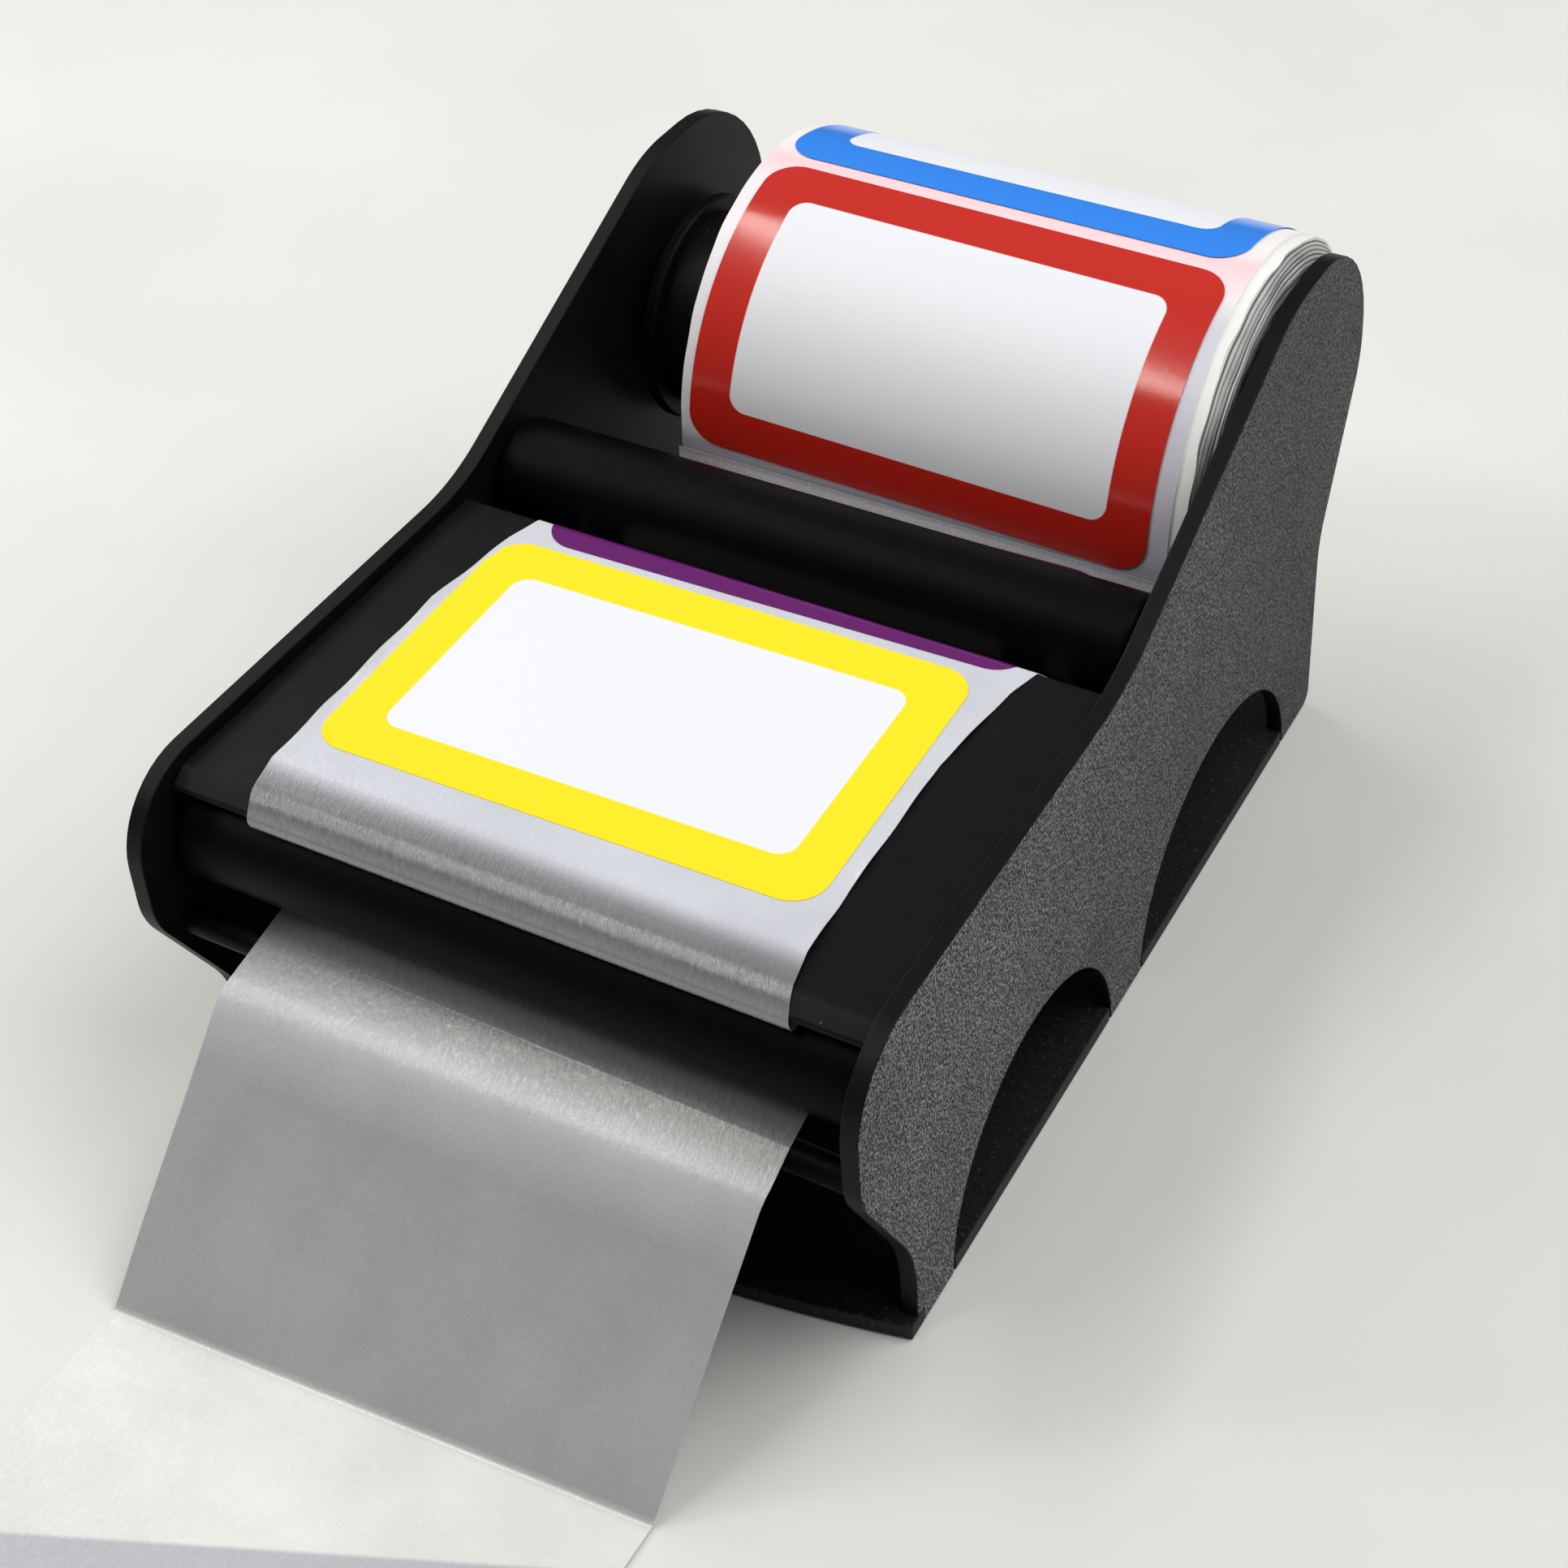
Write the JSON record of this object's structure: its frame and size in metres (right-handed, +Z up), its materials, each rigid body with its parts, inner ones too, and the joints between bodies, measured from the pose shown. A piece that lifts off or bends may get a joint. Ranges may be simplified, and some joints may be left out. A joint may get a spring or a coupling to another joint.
{
  "type": "label dispenser machine",
  "caption": "Desktop dispenser with two side panels, a spool with a roll of labels, guide rollers, a platen with a peeling edge and a paper liner led out in front.",
  "frame": {"origin": "centre of the base plate's underside", "axes": "+X to the right seen from the front, +Y from the front to the back, +Z up"},
  "size_m": [0.128, 0.2988, 0.1045],
  "materials": {
    "black_print": "smooth matte, fine speckle on the outer faces",
    "roller_print": "satin",
    "cardboard_core": "matte",
    "wound_label_stock": "satin",
    "release_liner": "glossy",
    "label_face_yellow": "glossy",
    "label_face_purple": "glossy",
    "label_face_red": "glossy",
    "label_face_blue": "glossy"
  },
  "bodies": {
    "stand": {"side_panel_left": "black_print", "side_panel_right": "black_print", "base_plate": "black_print", "platen": "black_print", "guide_bar": "roller_print", "liner_feed_loop": "release_liner", "liner_on_platen": "release_liner", "liner_front_wrap": "release_liner", "liner_tail": "release_liner", "liner_tail_laid": "release_liner", "label_yellow": "label_face_yellow", "label_purple": "label_face_purple"},
    "spool": {"spool_hub": "roller_print", "spool_end_cap": "roller_print", "roll_core": "cardboard_core", "label_roll": "wound_label_stock", "label_red": "label_face_red", "label_blue": "label_face_blue", "label_rear_upper": "label_face_yellow", "label_rear_lower": "label_face_purple"},
    "rear_roller": {"rear_roller": "roller_print"},
    "front_roller": {"front_roller": "roller_print"}
  },
  "joints": [
    {"name": "spool_spin", "type": "hinge", "parent": "stand", "child": "spool", "pos_m": [0, 0.07, 0.065], "axis": [1, 0, 0], "continuous": true},
    {"name": "rear_roller_spin", "type": "hinge", "parent": "stand", "child": "rear_roller", "pos_m": [0, 0.011, 0.065], "axis": [1, 0, 0], "continuous": true},
    {"name": "front_roller_spin", "type": "hinge", "parent": "stand", "child": "front_roller", "pos_m": [0, -0.0791, 0.0546], "axis": [1, 0, 0], "continuous": true}
  ],
  "couplings": [
    {"joint": "rear_roller_spin", "follows": "spool_spin", "ratio": -4.3667},
    {"joint": "front_roller_spin", "follows": "spool_spin", "ratio": -4.3667}
  ]
}
